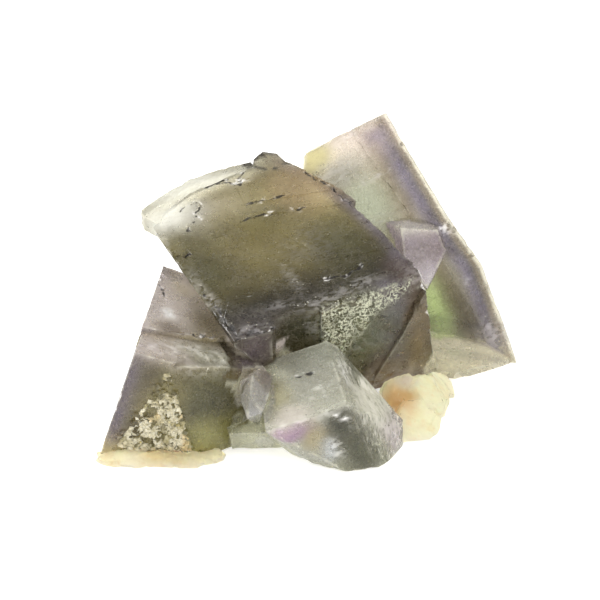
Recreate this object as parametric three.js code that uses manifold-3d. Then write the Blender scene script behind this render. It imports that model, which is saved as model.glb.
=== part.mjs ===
// A fluorite specimen: intergrown cubes, cleaved and chipped, with two remnants of the stained rock
// that they grew on. Millimetres, Z up. The origin is in the middle of the footprint, on the plane that
// the specimen rests on. Each crystal has a place, the corner that it is measured from, and a lean, roll
// and turn in degrees about X, Y and Z. Its own axes run right, back and up from that corner.

import * as THREE from "three";
import Module from "manifold-3d";
import { ConvexGeometry } from "three/addons/geometries/ConvexGeometry.js";
import { mergeVertices } from "three/addons/utils/BufferGeometryUtils.js";

const wasm = await Module();
wasm.setup();

// Driving dimensions
const centre = [2.68, 19.71]; // middle of the footprint, in the axes that the places below use
const gap = 0.32; // clearance between the crystals and the rock
const reach = 150; // longer than the specimen, for the pieces that cut

// The large cube in the middle, measured from its front left top corner
const mainCube = {
  place: [-13.3, -11.6, 25.4],
  turned: [10, 0, 26],
  height: 34,
  front: [[-0.3, 0.6], [8.2, 0.1], [9.4, 0.9], [45.4, 0.4]],
  right: [[46, 6], [46.4, 13], [45.8, 21], [44.8, 28.5], [43, 36], [40.5, 42], [37.2, 49]],
  back: [[34.5, 53], [27.4, 52], [22, 51.6], [11.5, 50], [4, 46.6], [-1, 42.4]],
  steps: [
    { rise: 0.2, outline: [[20.8, 40.6], [31, 38.8], [42, 36.4], [38, 46], [34, 52], [22.5, 51]] },
    { rise: 0.1, outline: [[17.8, 35.9], [25, 35.3], [43.4, 30.5], [42, 36.4], [31, 38.8], [20.8, 40.6]] },
    { rise: 0.1, outline: [[23.5, 29.4], [29.4, 15.6], [37, 14.4], [45, 12.8], [44, 26], [33, 28]] },
    { rise: 0.14, outline: [[1, 2], [8.4, 1.4], [9, 5.6], [13.6, 11.4], [4, 13], [0.5, 8]] },
  ],
};

// The tall cube behind on the right, measured from its top right corner
const tallCube = {
  place: [19.5, 51.5, 47.2],
  turned: [-34, -27, -12],
  thickness: 15,
  taper: 0.3, // how far the right flank draws in for each millimetre back
  outline: [[0, 0], [0.4, -7], [1.7, -27], [3.6, -40.9], [2.4, -50.6], [0, -70], [-36, -70],
    [-36, -30], [-27, -12], [-22.6, -2.6], [-20.6, 0.5], [-12.8, 0.6]],
};

// The blocky cube on the left, measured from its front left top corner
const leftCube = {
  place: [-34.5, -17.5, 26.9],
  turned: [0, 17, 0],
  height: 34,
  terrace: [[0.7, 8.3], [12, 10.2], [22.6, 13], [30, 14], [30, 36.4], [4.2, 36.4]],
};

// A cube behind on the left, under the overhang of the large one, measured from its front left top
// corner
const rearCube = {
  place: [-20.5, 19, 25],
  turned: [3, -4, 9],
  width: 32,
  depth: 25,
};

// The small clear cube in front
const clearCube = {
  top: [[9.9, -20.2, 15.4], [-7.2, -23.1, 10.8], [5.8, -3, 20.3], [-9.5, -6, 16.5]],
  flank: [[8, -3.3, 19], [11.9, -7.6, 14.9], [22.3, -11.2, 5.3], [22.2, -14.7, -3], [18.2, -22, -3]],
  foot: [[14.5, -22.6, -3], [6.4, -19.8, -3], [0, -14.9, -3], [-6, -8, -3], [10, 2, -3]],
  back: [[-4, 1.5, 13], [8, 3.5, 13.5], [14, 0, 9]],
};

// Chips of crystal between the cubes, each a few flat faces
const chips = {
  slab: [[-15.7, -14.5, 5.7], [-8, -8.8, 5.7], [-15.3, -17.2, 5.9], [-4, -19, 7.6], [-14.6, -15.4, 0.6],
    [-14.4, -13.4, 0.6], [0, -14.3, 0.4], [0, -8, 0.4]],
  shard: [[-8.1, -10.7, 19.3], [-5.8, -12.1, 17.1], [-6.5, -18.2, 16.8], [-8, -21.5, 14.3],
    [-11.2, -20.8, 12.5], [-12.5, -17.2, 14.6], [-12.8, -13.4, 16.9], [-10.1, -16.1, 20.1],
    [-10.5, -20, 17.6], [-9, -7, 11], [-9, -13, 5]],
  lilac: [[22.7, 32.4, 27.9], [31.1, 33, 27], [33.2, 31.5, 22.6], [29, 28.5, 14.1], [23.8, 29.2, 20.8],
    [18.5, 42, 24.4], [27, 42.7, 26.4], [32.5, 41.6, 24.4], [34.4, 38.1, 18.2], [29.5, 33, 9.9],
    [20.3, 36.9, 16.2]],
  knob: [[-10.8, 49.3, 36.4], [-8.6, 50.6, 37.6], [-5.4, 50.2, 37.4], [-3.4, 48.6, 36.2],
    [-5.4, 46.2, 35.6], [-9.4, 46.8, 35.6], [-11, 48, 31], [-3, 47, 31], [-7, 52, 31]],
  // The foot runs out from under the tall cube
  foot: [[27, 26.2, 4.6], [35.2, 24.3, 4.2], [43, 22.4, 3.2], [47.6, 20.8, 1.6], [31.2, 13.6, 1.2],
    [34.9, 13.2, 1.3], [38.8, 14.7, 1.2], [44, 17.3, 1], [47.6, 19.3, 0.6], [31.3, 12.2, -1],
    [34.9, 11.8, -1], [38.9, 13.4, -1], [44.3, 16.3, -1], [48.2, 18.6, -1], [46, 27, 1], [27, 31, 1]],
};

// Smooth random numbers between -1 and 1 at a point, the same on every run
function hash(x, y, z) {
  const n = Math.sin(x * 127.1 + y * 311.7 + z * 74.7) * 43758.5453;
  return 2 * (n - Math.floor(n)) - 1;
}

function noise(x, y, z) {
  const [i, j, k] = [Math.floor(x), Math.floor(y), Math.floor(z)];
  const ease = (t) => t * t * (3 - 2 * t);
  const [u, v, w] = [ease(x - i), ease(y - j), ease(z - k)];
  const mix = THREE.MathUtils.lerp;
  const layer = (c) => mix(
    mix(hash(i, j, c), hash(i + 1, j, c), u),
    mix(hash(i, j + 1, c), hash(i + 1, j + 1, c), u),
    v,
  );
  return mix(layer(k), layer(k + 1), w);
}

// A closed geometry as a solid that can be joined and cut, and back
function solidOf(geometry) {
  const bare = geometry.clone();
  bare.deleteAttribute("normal");
  bare.deleteAttribute("uv");
  const merged = mergeVertices(bare, 1e-4);
  return new wasm.Manifold(new wasm.Mesh({
    numProp: 3,
    vertProperties: new Float32Array(merged.attributes.position.array),
    triVerts: new Uint32Array(merged.index.array),
  }));
}

function geometryOf(solid) {
  const mesh = solid.getMesh();
  const geometry = new THREE.BufferGeometry();
  geometry.setAttribute("position", new THREE.BufferAttribute(new Float32Array(mesh.vertProperties), 3));
  geometry.setIndex(new THREE.BufferAttribute(new Uint32Array(mesh.triVerts), 1));
  const flat = geometry.toNonIndexed();
  flat.computeVertexNormals();
  return flat;
}

// The largest body of a solid, without the loose crumbs and sealed voids that joins and cuts leave
function mainBody(solid) {
  const bodies = solid.decompose().sort((a, b) => b.volume() - a.volume());
  return bodies[0];
}

// A crystal's own axes: right, back and up from its corner
function axesOf({ place, turned }) {
  const [lean, roll, turn] = turned.map(THREE.MathUtils.degToRad);
  const matrix = new THREE.Matrix4().makeRotationFromEuler(new THREE.Euler(lean, roll, turn, "XYZ"));
  return matrix.setPosition(...place);
}

const upright = { place: [0, 0, 0], turned: [0, 0, 0] };

// A flat plate of an outline, from its floor up by its height, in a crystal's axes
function plate(outline, floor, height, axes = upright) {
  const shape = new THREE.Shape(outline.map(([x, y]) => new THREE.Vector2(x, y)));
  const geometry = new THREE.ExtrudeGeometry(shape, { depth: height, bevelEnabled: false });
  return solidOf(geometry.translate(0, 0, floor).applyMatrix4(axesOf(axes)));
}

// The same plate stood on edge: its outline runs right and up, its thickness runs back, and it draws in
// by its taper
function standingPlate(outline, front, thickness, axes = upright, taper = 0) {
  const shape = new THREE.Shape(outline.map(([x, z]) => new THREE.Vector2(x, z)));
  const geometry = new THREE.ExtrudeGeometry(shape, { depth: thickness, bevelEnabled: false });
  geometry.rotateX(Math.PI / 2).translate(0, front + thickness, 0);
  geometry.applyMatrix4(new THREE.Matrix4().makeShear(0, 0, -taper, 0, 0, 0));
  return solidOf(geometry.applyMatrix4(axesOf(axes)));
}

// A crystal with flat faces between its corners
function facets(corners, axes = upright) {
  const geometry = new ConvexGeometry(corners.map((c) => new THREE.Vector3(...c)));
  return solidOf(geometry.applyMatrix4(axesOf(axes)));
}

// A block that takes away all that lies beyond a point in the direction it faces.
// Relief roughens the face that it leaves, in cells, and steps break it into small cleavage ledges.
function cutter(spec) {
  const { at, facing, across = reach, along = reach, relief = 0, cell = 2, seed = 0, steps = 0 } = spec;
  const columns = relief ? Math.round(across / cell) : 1;
  const rows = relief ? Math.round(along / cell) : 1;
  const geometry = new THREE.BoxGeometry(across, along, reach / 2, columns, rows, 1);
  geometry.translate(0, 0, reach / 4);
  const points = geometry.attributes.position;
  for (let i = 0; i < points.count && relief; i += 1) {
    const [x, y, z] = [points.getX(i), points.getY(i), points.getZ(i)];
    const rim = Math.max(Math.abs(x) / across, Math.abs(y) / along) > 0.499;
    if (z > 0.001) continue;
    const [u, v] = [x / cell, y / cell];
    let lift = noise(u / 2.7, v / 2.7, seed) + 0.6 * noise(u / 1.3, v / 1.3, seed + 9);
    if (steps) lift = Math.round(lift * steps) / steps + 0.12 * hash(x, y, seed);
    const stray = rim ? 0 : 0.36 * cell;
    points.setXYZ(i, x + stray * hash(x, y, seed + 1), y + stray * hash(y, x, seed + 2), relief * lift);
  }
  const turn = new THREE.Quaternion().setFromUnitVectors(
    new THREE.Vector3(0, 0, 1),
    new THREE.Vector3(...facing).normalize(),
  );
  return geometry.applyQuaternion(turn).translate(...at);
}

// Cuts a solid with such a block, and only within another solid where one is given
function cutIn(solid, spec, axes = upright, within = null) {
  const tool = solidOf(cutter(spec).applyMatrix4(axesOf(axes)));
  return solid.subtract(within ? tool.intersect(within) : tool);
}

// Shell-shaped chips knocked out of an edge, each a flattened ball
function knockOut(solid, places, axes) {
  return places.reduce((rest, [x, y, z, size], i) => {
    const ball = new THREE.IcosahedronGeometry(size, 1).scale(1, 1.3, 0.6);
    ball.rotateZ(0.7 * i).rotateX(0.5 * hash(i, 1, 2)).translate(x, y, z);
    return rest.subtract(solidOf(ball.applyMatrix4(axesOf(axes))));
  }, solid);
}

// The large cube: growth steps on its top, a recess and an etched patch in front, a broken rim on the
// right, and an undercut on the left where a cleavage took its flank
function mainBlock() {
  const { front, right, back, height, steps } = mainCube;
  let block = plate([...front, ...right, ...back], -height, height, mainCube);
  const flare = facets([
    [30, 1, -0.5], [45.4, 0.4, -0.5], [49.3, 0.2, -30.5], [49.3, 0.2, -34], [30, 1, -34],
    [30, 20, -0.5], [45.8, 20, -0.5], [47, 20, -34], [30, 20, -34],
  ], mainCube);
  block = block.add(flare);
  for (const { rise, outline } of steps) block = block.add(plate(outline, -1, 1 + rise, mainCube));
  const recess = plate([[9.4, -3], [20.6, -3], [20.2, 1.6], [14, 3.2], [9.6, 2.6]], -13, 16, mainCube);
  block = block.subtract(recess);
  const etched = [[20.4, 3], [48, 3], [45.6, -3.5], [40, -15], [34, -24.5], [31, -34], [20.4, -34]];
  block = cutIn(block, {
    at: [34, 1.5, -15], facing: [0.03, -1, 0.04], across: 36, along: 42,
    relief: 0.55, cell: 1.5, seed: 4,
  }, mainCube, standingPlate(etched, -4, 9, mainCube));
  const scuffed = [[20.4, -3], [45, -3], [44, 5], [33, 6], [27, 7], [20.4, 5]];
  block = cutIn(block, {
    at: [33, 2.2, -0.6], facing: [-0.02, -0.5, 0.86], across: 40, along: 24,
    relief: 0.5, cell: 1.7, seed: 12, steps: 3,
  }, mainCube, plate(scuffed, -6, 9, mainCube));
  block = cutIn(block, { at: [-0.6, 20, -1.2], facing: [-0.8, 0, -0.6] }, mainCube);
  block = cutIn(block, {
    at: [8, 50.2, -4], facing: [-0.3, 0.8, -0.45], across: 70, along: 60,
    relief: 0.8, cell: 4, seed: 31, steps: 3,
  }, mainCube);
  block = brokenRim(block);
  const nicks = [
    [-1, 25, -0.2, 1.6], [-1.4, 19.6, -0.2, 2.1], [-1.1, 14.2, 0, 1.7], [-0.9, 31, -0.2, 1.1],
    [-0.8, 8, 0, 1.2], [-1.4, 37, 0.2, 1.8], [2, 47.4, 0.4, 1.7], [12, 51.2, 0.4, 1.4],
    [20, 53, 0.6, 1.5], [9, 0, 0.2, 1.2],
  ];
  return knockOut(block, nicks, mainCube);
}

// The right flank of the large cube is broken in two directions, below its rim and along it
function brokenRim(block) {
  const below = { across: 70, along: 40, cell: 2.7, steps: 3 };
  const bevel = { across: 44, along: 24, cell: 1.9, steps: 2 };
  const rim = [
    { ...below, at: [45.2, 12, -12], facing: [1, 0.02, -0.08], relief: 0.8, seed: 6 },
    { ...below, at: [43.2, 35, -12], facing: [0.95, 0.3, -0.05], relief: 1.1, seed: 7 },
    { ...bevel, at: [43.2, 19, 0.2], facing: [0.6, 0.08, 0.6], relief: 0.7, seed: 8 },
    { ...bevel, at: [40.2, 41, 0.4], facing: [0.62, 0.32, 0.6], relief: 0.9, seed: 9 },
  ];
  const side = plate([[36, 5], [60, 5], [60, 62], [30, 62], [30, 46], [38, 34]], -60, 70, mainCube);
  return rim.reduce((rest, cut) => cutIn(rest, cut, mainCube, side), block);
}

// A thin pale slab left behind the large cube's back edge
function backSliver() {
  const outline = [[-0.8, 48.6], [-0.4, 51], [6.9, 54.1], [14.2, 56.3], [22, 56.6], [29.3, 55.8], [30, 46],
    [12, 44], [2, 43]];
  return plate(outline, -5.5, 4, mainCube);
}

// The tall cube: a thick plate leaning back, its hidden flank and back broken
function tallBlock() {
  const { outline, thickness, taper } = tallCube;
  let block = standingPlate(outline, 0, thickness, tallCube, taper);
  block = cutIn(block, {
    at: [-15, 14.2, -34], facing: [0.05, 1, 0.03], across: 60, along: 80,
    relief: 1, cell: 5, seed: 21, steps: 3,
  }, tallCube);
  block = cutIn(block, {
    at: [-25, 10, -6], facing: [-0.7, 0.5, 0.55], across: 60, along: 60,
    relief: 0.8, cell: 4, seed: 22, steps: 2,
  }, tallCube);
  const margin = [[-9, 0.6], [-3.6, -38], [-2.8, -50], [-4, -66], [6, -66], [8, 3]];
  const band = standingPlate(margin, -0.35, 3, tallCube);
  block = block.add(band.intersect(standingPlate(outline, -0.35, 3, tallCube)));
  const nicks = [[0.6, 0, -8, 0.9], [2.4, 0, -31, 1.3], [3.4, 0, -38, 1], [3.4, 0, -46, 1.2],
    [-6, 0, 0.8, 1.1], [-15, 0, 0.6, 1.3], [1.6, 0, -55, 1.1]];
  return knockOut(block, nicks, tallCube);
}

// The cube behind on the left: only its back and left sides are free, and its back is broken
function rearBlock() {
  const { width, depth } = rearCube;
  const block = plate([[0, 0], [width, 0], [width, depth], [2.5, depth]], -32, 32, rearCube);
  return cutIn(block, {
    at: [14, depth - 1.5, -14], facing: [-0.06, 1, 0.1], across: 60, along: 60,
    relief: 0.8, cell: 4.2, seed: 41, steps: 3,
  }, rearCube);
}

// The left cube: its front right corner cleaved away, a sloping ledge, and a terrace that passes under
// the large cube
function leftBlock() {
  const { terrace, height } = leftCube;
  const ledge = facets([
    [0, 0, 0], [8.2, 0, -0.2], [12.4, 2.2, 0], [23.6, 6.5, -0.3], [28, 9, -0.3], [3.5, 30, 0], [29, 30, 0],
    [8.2, 0.1, -2.4], [12.4, 3.2, -2.2], [19.7, 6.5, -5.8], [25.4, 9, -8.6], [28.5, 8, -14.6],
    [26.8, 3.9, -20.1], [28.5, 5.5, -28], [20.6, 0, -19.7], [24, 0.6, -30], [-0.6, 0, -31],
    [5, 30, -31], [34, 30, -24],
  ], leftCube);
  const shelf = [[9, -2], [30, -2], [30, 12.6], [22.6, 12], [14, 9.4], [9.4, 6.4]];
  let block = ledge.add(plate(terrace, -5, 6.1, leftCube));
  block = cutIn(block, {
    at: [18, 6, -0.5], facing: [0.16, -0.3, 0.92], across: 40, along: 30,
    relief: 0.35, cell: 1.8, seed: 17, steps: 3,
  }, leftCube, plate(shelf, -4, 8, leftCube));
  block = cutIn(block, {
    at: [16, 35, -15], facing: [0.1, 1, 0.05], across: 60, along: 60,
    relief: 0.9, cell: 4.2, seed: 51, steps: 3,
  }, leftCube);
  const nicks = [[0.4, 4, 0.4, 1.3], [2.2, 20, 1.1, 1], [3.4, 31, 1.1, 1.2], [13, 10.6, 1.3, 1.2],
    [19, 12, 1.3, 1.3]];
  return knockOut(block, nicks, leftCube);
}

// Golden druse on the left cube's front face: many small crystals in a triangle that widens to the foot
function druse() {
  const grains = [];
  const count = 96;
  for (let i = 0; i < count; i += 1) {
    const down = Math.sqrt((i + 0.5) / count);
    const side = 0.5 + 0.5 * hash(i, 3, 7);
    const z = -3 - 19.8 * down;
    const x = THREE.MathUtils.lerp(7.6 - 5.8 * down, 8.2 + 12.2 * down * 0.93, side);
    const size = 0.75 + 0.35 * hash(i, 5, 1) + 0.35 * down;
    const grain = new THREE.BoxGeometry(size, size, size);
    grain.rotateX(1.9 * hash(i, 1, 1)).rotateY(1.9 * hash(i, 2, 1)).rotateZ(1.9 * hash(i, 3, 1));
    grain.translate(x, 0.1 + 0.15 * hash(i, 9, 4), z);
    grains.push(solidOf(grain.applyMatrix4(axesOf(leftCube))));
  }
  return grains.reduce((all, grain) => all.add(grain));
}

// The small clear cube: a square top, a front face that falls steeply, and a broken striated flank on
// the right
function clearBlock() {
  const { top, flank, foot, back } = clearCube;
  const right = facets([
    [10.9, -19.5, 14.4], [8, -5, 19.6], [13, -7, 18], [26, -10, 9], [26, -14, 0], [21, -23, 0],
    [18.6, -24, 2], [12, -14, 9],
  ]);
  const block = cutIn(facets([...top, ...flank, ...foot, ...back]), {
    at: [13.2, -11.6, 12.75], facing: [0.665, -0.083, 0.742], across: 34, along: 34,
    relief: 0.45, cell: 1.9, seed: 14, steps: 3,
  }, upright, right);
  return cutIn(block, {
    at: [16.8, -17.8, 5.7], facing: [0.726, -0.57, 0.383], across: 34, along: 34,
    relief: 0.35, cell: 1.9, seed: 15, steps: 3,
  }, upright, right);
}

function fluorite() {
  const pieces = [
    mainBlock(), backSliver(), tallBlock(), rearBlock(), leftBlock(), clearBlock(), druse(),
    ...Object.values(chips).map((corners) => facets(corners)),
  ];
  const joined = pieces.reduce((all, piece) => all.add(piece));
  return mainBody(cutIn(joined, { at: [0, 0, 0], facing: [0, 0, -1] }));
}

// A lump of rock: a flattened ball, rough all over
function lump([x, y, z, wide, deep, tall], seed) {
  const ball = new THREE.IcosahedronGeometry(1, 2);
  const points = ball.attributes.position;
  for (let i = 0; i < points.count; i += 1) {
    const p = new THREE.Vector3().fromBufferAttribute(points, i);
    const broad = noise(p.x * 1.8 + seed, p.y * 1.8, p.z * 1.8);
    const fine = noise(p.x * 4, p.y * 4 + seed, p.z * 4);
    const swell = 1 + 0.2 * broad + 0.12 * fine;
    points.setXYZ(i, x + p.x * swell * wide, y + p.y * swell * deep, z + p.z * swell * tall);
  }
  return solidOf(ball);
}

// Rock is joined lumps with broken faces, cut flat at the foot and kept clear of the crystals all round
function rock({ lumps, breaks }, crystals, firstSeed) {
  const pieces = lumps.map((spec, i) => lump(spec, firstSeed + 3.7 * i));
  let stone = pieces.reduce((all, piece) => all.add(piece));
  breaks.forEach(([at, facing], i) => {
    stone = cutIn(stone, { at, facing, across: 30, along: 30, relief: 0.3, cell: 2, seed: 60 + i });
  });
  stone = cutIn(stone, { at: [0, 0, 0], facing: [0, 0, -1] });
  const ways = [[0, 0, 0], [1, 0, 0], [-1, 0, 0], [0, 1, 0], [0, -1, 0], [0, 0, 1], [0, 0, -1]];
  for (const [x, y, z] of ways) {
    stone = stone.subtract(crystals.translate([x * gap, y * gap, z * gap]));
  }
  return mainBody(stone);
}

// Rock lumps: middle, then half width, half depth and half height. Breaks: a point and the way that the
// broken face looks.
const rightRock = {
  lumps: [
    [25.4, -6.5, 1, 5.4, 7.6, 4.6], [27.6, 2.6, 1.2, 5.6, 6.6, 5.2], [22.6, 4, 1, 4.6, 5, 5],
    [31, 8.4, 0.8, 4, 4.4, 3.6],
  ],
  breaks: [
    [[26, -2, 4.6], [0.25, -0.2, 1]], [[25, -8, 3.6], [0.1, -0.75, 0.8]], [[29.4, -7, 2.4], [1, -0.5, 0.6]],
    [[31.6, 3, 3.2], [0.8, 0.1, 0.9]],
  ],
};

const leftRock = {
  lumps: [
    [-40, -18.6, 0.2, 4, 2.4, 2.4], [-35.4, -19, 0.2, 4.4, 2.8, 2.6], [-30, -19.2, 0.2, 4.4, 2.9, 2.5],
    [-24.6, -19, 0.2, 4.2, 2.7, 2.7], [-19.6, -17.8, 0.2, 3.6, 2.5, 2.2],
  ],
  breaks: [
    [[-31, -20.4, 1.2], [0, -0.8, 0.75]], [[-24, -19, 1.9], [0.1, -0.2, 1]],
    [[-38, -19, 1.6], [-0.08, -0.25, 1]],
  ],
};

function nodeOf(name, solid, look) {
  const material = new THREE.MeshStandardMaterial({ metalness: 0, ...look });
  const mesh = new THREE.Mesh(geometryOf(solid), material);
  mesh.name = name;
  return mesh;
}

const crystals = fluorite();
const root = new THREE.Group();
root.add(
  nodeOf("fluorite", crystals, { color: "#7d7a63", roughness: 0.25 }),
  nodeOf("matrix_right", rock(rightRock, crystals, 1), { color: "#e3bd72", roughness: 0.8 }),
  nodeOf("matrix_left", rock(leftRock, crystals, 50), { color: "#e8d7a0", roughness: 0.85 }),
);
root.position.set(-centre[0], -centre[1], 0);

export default root;
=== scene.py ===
from math import cos, radians, sin

import bmesh
import bpy
import numpy as np
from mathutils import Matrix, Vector


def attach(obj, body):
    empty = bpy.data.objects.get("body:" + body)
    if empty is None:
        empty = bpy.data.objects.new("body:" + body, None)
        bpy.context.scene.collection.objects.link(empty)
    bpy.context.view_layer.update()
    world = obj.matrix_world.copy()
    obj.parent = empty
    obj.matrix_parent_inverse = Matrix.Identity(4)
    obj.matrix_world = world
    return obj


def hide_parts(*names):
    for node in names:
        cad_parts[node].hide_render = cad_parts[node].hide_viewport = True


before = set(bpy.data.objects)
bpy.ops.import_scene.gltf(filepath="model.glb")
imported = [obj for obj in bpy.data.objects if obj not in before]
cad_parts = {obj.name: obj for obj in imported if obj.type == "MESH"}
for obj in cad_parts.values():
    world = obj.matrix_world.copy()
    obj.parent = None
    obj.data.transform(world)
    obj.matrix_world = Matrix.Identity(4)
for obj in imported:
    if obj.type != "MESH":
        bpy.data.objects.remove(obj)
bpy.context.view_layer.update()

middle = np.array([2.68, 19.71, 0.0])  # middle of the foot, in the millimetres that the places below use


# Shared shaping helpers. Everything below is worked out in millimetres and turned to metres at the end.

def ease(low, high, value):
    # 0 below low, 1 above high, and a smooth rise between them: 3t^2 - 2t^3
    t = np.clip((value - low) / (high - low), 0, 1)
    return t * t * (3 - 2 * t)


def scatter(cells, seed):
    # One pseudo-random number from 0 to 1 for each whole-number cell: the fraction of a large sine
    wave = np.sin(cells @ np.array([127.1, 311.7, 74.7]) + seed * 17.31) * 43758.5453
    return wave - np.floor(wave)


def cloud(places, size, seed, octaves):
    # Smooth field from -1 to 1: cell values eased between eight corners, then halved in size and weight
    total = np.zeros(len(places))
    for k in range(octaves):
        spot = places / size * 2.0 ** k + 31.7 * k
        base = np.floor(spot)
        part = spot - base
        part = part * part * (3 - 2 * part)
        for corner in np.ndindex(2, 2, 2):
            share = np.prod(np.where(corner, part, 1 - part), axis=1)
            total += share * (2 * scatter(base + corner, seed + k) - 1) * 0.5 ** k
    return total / (2 - 0.5 ** (octaves - 1))


def cells(places, size, seed):
    # Distance to the nearest of the points strewn one to a cell, as a share of the cell's size
    spot = places / size
    base = np.floor(spot)
    nearest = np.full(len(places), 9.0)
    for step in np.ndindex(3, 3, 3):
        home = base + np.array(step) - 1
        point = home + np.stack([scatter(home, seed + k) for k in range(3)], axis=1)
        nearest = np.minimum(nearest, np.linalg.norm(spot - point, axis=1))
    return nearest


def ownAxes(lean, roll, turn):
    # Turns about Z, then Y, then X, as one matrix whose columns are a crystal's right, back and up
    a, b, c = np.radians([lean, roll, turn])
    aboutX = np.array([[1, 0, 0], [0, cos(a), -sin(a)], [0, sin(a), cos(a)]])
    aboutY = np.array([[cos(b), 0, sin(b)], [0, 1, 0], [-sin(b), 0, cos(b)]])
    aboutZ = np.array([[cos(c), -sin(c), 0], [sin(c), cos(c), 0], [0, 0, 1]])
    return aboutX @ aboutY @ aboutZ


def outward(points, faces):
    # Point normals: each face's cross product, which weighs it by its area, summed at its corners
    a, b, c = (points[faces[:, k]] for k in range(3))
    across = np.cross(b - a, c - a)
    total = np.stack([
        sum(np.bincount(faces[:, k], across[:, axis], len(points)) for k in range(3)) for axis in range(3)
    ], axis=1)
    return total / np.maximum(np.linalg.norm(total, axis=1, keepdims=True), 1e-12)


def turnRows(rows, start):
    # Each row of three turned round so that it begins at its own start
    return np.take_along_axis(rows, (start[:, None] + np.arange(3)) % 3, axis=1)


def splitFaces(faces, cuts):
    # cuts holds the new point on each side of each face, or -1; a face becomes one, two, three or four
    count = (cuts >= 0).sum(axis=1)
    parts = [faces[count == 0]]
    one = count == 1
    start = np.argmax(cuts[one] >= 0, axis=1)
    (a, b, c), (m, _, _) = turnRows(faces[one], start).T, turnRows(cuts[one], start).T
    parts += [np.stack(t, axis=1) for t in [(a, m, c), (m, b, c)]]
    two = count == 2
    start = np.argmax(cuts[two] < 0, axis=1) + 1
    (a, b, c), (m, n, _) = turnRows(faces[two], start).T, turnRows(cuts[two], start).T
    parts += [np.stack(t, axis=1) for t in [(m, b, n), (a, m, n), (a, n, c)]]
    three = count == 3
    (a, b, c), (m, n, o) = faces[three].T, cuts[three].T
    parts += [np.stack(t, axis=1) for t in [(a, m, o), (m, b, n), (o, n, c), (m, n, o)]]
    return np.vstack(parts)


def refine(points, faces, sizeAt, rounds=9):
    # Every side longer than the size wanted at its middle is halved, round after round
    for _ in range(rounds):
        pairs = np.sort(np.stack([faces, np.roll(faces, -1, axis=1)], axis=2).reshape(-1, 2), axis=1)
        keys, first, back = np.unique(pairs[:, 0] * len(points) + pairs[:, 1],
                                      return_index=True, return_inverse=True)
        ends = pairs[first]
        halfway = points[ends].mean(axis=1)
        long = np.linalg.norm(points[ends[:, 0]] - points[ends[:, 1]], axis=1) > sizeAt(halfway)
        if not long.any():
            break
        number = np.full(len(keys), -1)
        number[long] = len(points) + np.arange(long.sum())
        points = np.vstack([points, halfway[long]])
        faces = splitFaces(faces, number[back].reshape(-1, 3))
    return points, faces


def rimAndNotch(points, faces, spread, sharp=34):
    # How near each point is to an outer edge and to an inner corner: 1 on it, 0 at the spread in mm. An edge
    # counts where its two faces turn by more than the sharp angle in degrees.
    a, b, c = (points[faces[:, k]] for k in range(3))
    normal = np.cross(b - a, c - a)
    normal /= np.maximum(np.linalg.norm(normal, axis=1, keepdims=True), 1e-12)
    centres = (a + b + c) / 3
    sides = np.stack([faces, np.roll(faces, -1, axis=1)], axis=2).reshape(-1, 2)
    owner = np.repeat(np.arange(len(faces)), 3)
    low, high = sides.min(axis=1), sides.max(axis=1)
    order = np.lexsort((high, low))
    same = (low[order][1:] == low[order][:-1]) & (high[order][1:] == high[order][:-1])
    left, right = owner[order][:-1][same], owner[order][1:][same]
    ends = np.stack([low[order][:-1][same], high[order][:-1][same]], axis=1)
    bend = np.degrees(np.arccos(np.clip((normal[left] * normal[right]).sum(axis=1), -1, 1)))
    inward = ((centres[right] - centres[left]) * normal[left]).sum(axis=1) > 0
    length = np.linalg.norm(points[ends[:, 0]] - points[ends[:, 1]], axis=1)
    masks = []
    for chosen in [(bend > sharp) & ~inward, (bend > sharp) & inward]:
        away = np.full(len(points), float(spread))
        away[ends[chosen].ravel()] = 0
        for _ in range(7):  # the distance spreads along the sides of the faces
            for i, j in [(0, 1), (1, 0)]:
                np.minimum.at(away, ends[:, i], away[ends[:, j]] + length)
        masks.append(1 - away / spread)
    return masks


def meshFrom(name, points, faces, smooth):
    # A mesh piece in metres whose faces are shaded as one below the smooth angle in degrees
    mesh = bpy.data.meshes.new(name)
    mesh.vertices.add(len(points))
    mesh.vertices.foreach_set("co", ((points - middle) / 1000).astype(np.float32).ravel())
    mesh.loops.add(faces.size)
    mesh.loops.foreach_set("vertex_index", faces.astype(np.int32).ravel())
    mesh.polygons.add(len(faces))
    mesh.polygons.foreach_set("loop_start", np.arange(0, faces.size, 3, dtype=np.int32))
    mesh.polygons.foreach_set("loop_total", np.full(len(faces), 3, dtype=np.int32))
    mesh.update(calc_edges=True)
    mesh.validate()
    mesh.shade_smooth()
    mesh.set_sharp_from_angle(angle=radians(smooth))
    piece = bpy.data.objects.new(name, mesh)
    bpy.context.scene.collection.objects.link(piece)
    return piece


def addColour(piece, name, values):
    layer = piece.data.color_attributes.new(name, "FLOAT_COLOR", "POINT")
    full = np.ones((len(values), 4), dtype=np.float32)
    full[:, :3] = values
    layer.data.foreach_set("color", full.ravel())


def addVector(piece, name, values):
    layer = piece.data.attributes.new(name, "FLOAT_VECTOR", "POINT")
    layer.data.foreach_set("vector", values.astype(np.float32).ravel())


def solidCopy(node):
    # A node's points in millimetres and its faces, with the doubled points merged
    work = bmesh.new()
    work.from_mesh(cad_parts[node].data)
    bmesh.ops.remove_doubles(work, verts=work.verts, dist=1e-7)
    mesh = bpy.data.meshes.new("work")
    work.to_mesh(mesh)
    work.free()
    points = np.empty(len(mesh.vertices) * 3)
    mesh.vertices.foreach_get("co", points)
    faces = np.empty(len(mesh.polygons) * 3, dtype=np.int64)
    mesh.polygons.foreach_get("vertices", faces)
    bpy.data.meshes.remove(mesh)
    return points.reshape(-1, 3) * 1000 + middle, faces.reshape(-1, 3)


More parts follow.
